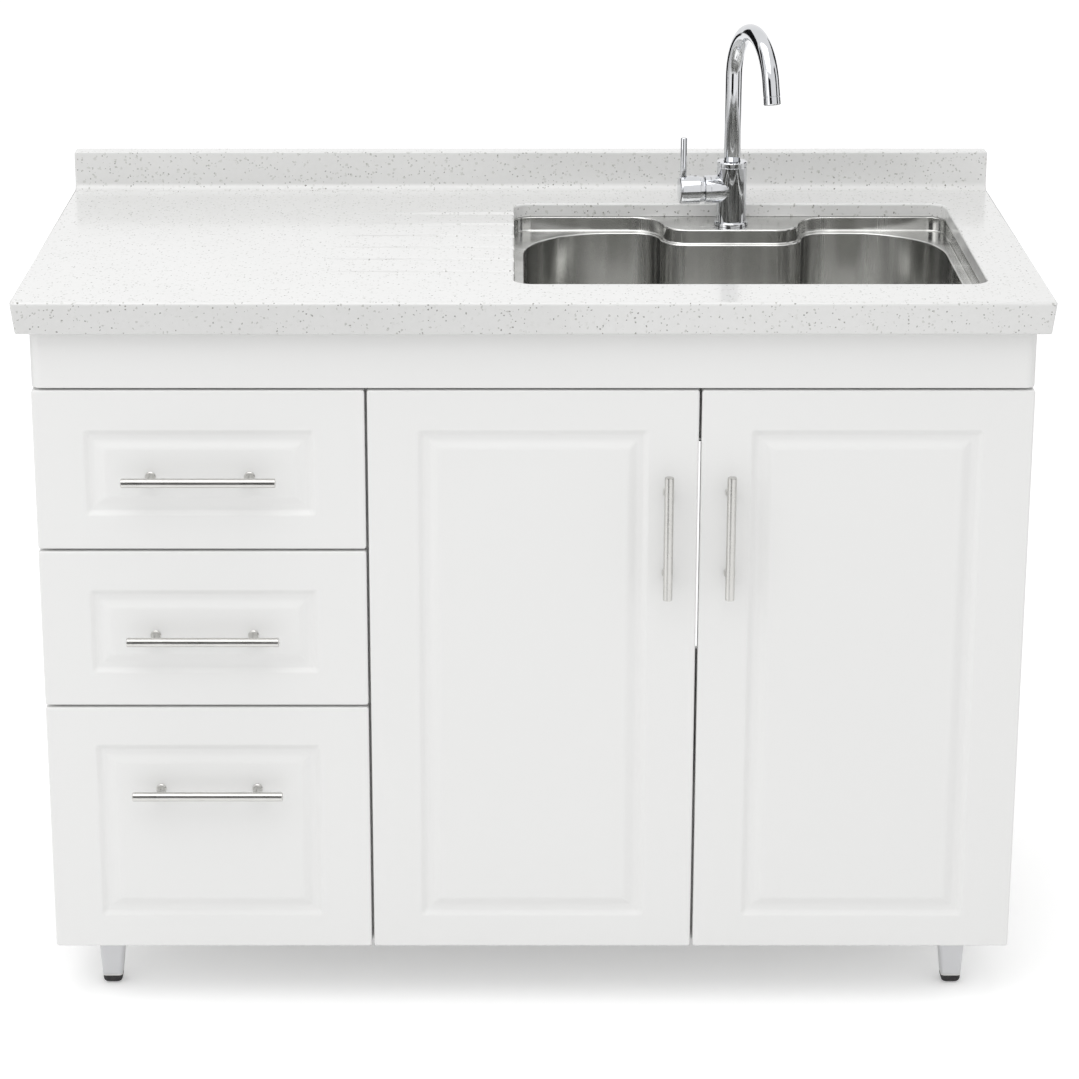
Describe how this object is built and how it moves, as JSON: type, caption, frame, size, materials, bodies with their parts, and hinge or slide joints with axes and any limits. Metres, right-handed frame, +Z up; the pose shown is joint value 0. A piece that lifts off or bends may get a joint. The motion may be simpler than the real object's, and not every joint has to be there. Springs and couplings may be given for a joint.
{
  "type": "kitchen sink base unit",
  "caption": "Fitted base unit with a cast-stone worktop, drain grooves, undermount steel basin, swivelling gooseneck tap, drawers and hinged doors on tapered legs",
  "frame": {"origin": "middle of the footprint, on the floor", "axes": "+X along the front to the right, +Y from the front to the wall, +Z up"},
  "size_m": [1.2, 0.61, 1.1519],
  "materials": {
    "worktop_stone": "cast stone, off-white with fine grey specks, satin polish",
    "front_foil": "satin off-white foil over routed board",
    "carcass_board": "off-white laminated board",
    "sink_steel": "brushed stainless steel",
    "strainer_steel": "polished stainless steel",
    "handle_steel": "satin-ground steel",
    "hinge_steel": "nickel-plated steel",
    "runner_steel": "light grey powder coat",
    "tap_chrome": "bright chrome plate",
    "trap_plastic": "white polypropylene",
    "leg_plastic": "light grey moulded plastic",
    "foot_rubber": "black rubber"
  },
  "bodies": {
    "unit": {"countertop": "worktop_stone", "sink": "sink_steel", "strainer_body": "strainer_steel", "drain_trap": "trap_plastic", "left_side_panel": "carcass_board", "right_side_panel": "carcass_board", "bottom_panel": "carcass_board", "partition_panel": "carcass_board", "back_panel": "carcass_board", "front_fascia": "front_foil", "front_left_leg": "leg_plastic", "front_left_foot_cap": "foot_rubber", "front_right_leg": "leg_plastic", "front_right_foot_cap": "foot_rubber", "back_left_leg": "leg_plastic", "back_left_foot_cap": "foot_rubber", "back_right_leg": "leg_plastic", "back_right_foot_cap": "foot_rubber", "runner_1_left": "runner_steel", "runner_1_right": "runner_steel", "runner_2_left": "runner_steel", "runner_2_right": "runner_steel", "runner_3_left": "runner_steel", "runner_3_right": "runner_steel", "left_door_hinge_arm_lower": "hinge_steel", "left_door_hinge_arm_upper": "hinge_steel", "right_door_hinge_arm_lower": "hinge_steel", "right_door_hinge_arm_upper": "hinge_steel", "faucet_body": "tap_chrome"},
    "drawer_1": {"drawer_1_front": "front_foil", "drawer_1_handle": "handle_steel", "drawer_1_side_left": "runner_steel", "drawer_1_side_right": "runner_steel", "drawer_1_bottom": "carcass_board", "drawer_1_back": "carcass_board"},
    "drawer_2": {"drawer_2_front": "front_foil", "drawer_2_handle": "handle_steel", "drawer_2_side_left": "runner_steel", "drawer_2_side_right": "runner_steel", "drawer_2_bottom": "carcass_board", "drawer_2_back": "carcass_board"},
    "drawer_3": {"drawer_3_front": "front_foil", "drawer_3_handle": "handle_steel", "drawer_3_side_left": "runner_steel", "drawer_3_side_right": "runner_steel", "drawer_3_bottom": "carcass_board", "drawer_3_back": "carcass_board"},
    "left_door_leaf": {"left_door": "front_foil", "left_door_handle": "handle_steel", "left_door_hinge_cup_lower": "hinge_steel", "left_door_hinge_cup_upper": "hinge_steel"},
    "right_door_leaf": {"right_door": "front_foil", "right_door_handle": "handle_steel", "right_door_hinge_cup_lower": "hinge_steel", "right_door_hinge_cup_upper": "hinge_steel"},
    "spout": {"faucet_spout": "tap_chrome"},
    "lever_stem": {"cartridge_stem": "tap_chrome"},
    "lever": {"lever_cap": "tap_chrome", "lever_pin": "tap_chrome"},
    "basket": {"strainer_basket": "strainer_steel"}
  },
  "joints": [
    {"name": "drawer_1_slide", "type": "slide", "parent": "unit", "child": "drawer_1", "axis": [0, -1, 0], "range_m": [0, 0.4]},
    {"name": "drawer_2_slide", "type": "slide", "parent": "unit", "child": "drawer_2", "axis": [0, -1, 0], "range_m": [0, 0.4]},
    {"name": "drawer_3_slide", "type": "slide", "parent": "unit", "child": "drawer_3", "axis": [0, -1, 0], "range_m": [0, 0.4]},
    {"name": "left_door_hinge", "type": "hinge", "parent": "unit", "child": "left_door_leaf", "pos_m": [-0.19333, -0.275, 0.4335], "axis": [0, 0, 1], "range_deg": [-105, 0]},
    {"name": "right_door_hinge", "type": "hinge", "parent": "unit", "child": "right_door_leaf", "pos_m": [0.583, -0.275, 0.4335], "axis": [0, 0, 1], "range_deg": [0, 105]},
    {"name": "spout_swivel", "type": "hinge", "parent": "unit", "child": "spout", "pos_m": [0.256, 0.158, 1], "axis": [0, 0, 1], "range_deg": [-106, 74]},
    {"name": "lever_turn", "type": "hinge", "parent": "unit", "child": "lever_stem", "pos_m": [0.256, 0.158, 0.929], "axis": [-0.9945, -0.1045, 0], "range_deg": [-45, 45]},
    {"name": "lever_tilt", "type": "hinge", "parent": "lever_stem", "child": "lever", "pos_m": [0.21423, 0.15361, 0.929], "axis": [0.1045, -0.9945, 0], "range_deg": [0, 18]},
    {"name": "basket_lift", "type": "slide", "parent": "unit", "child": "basket", "axis": [0, 0, 1], "range_m": [0, 0.25]}
  ]
}
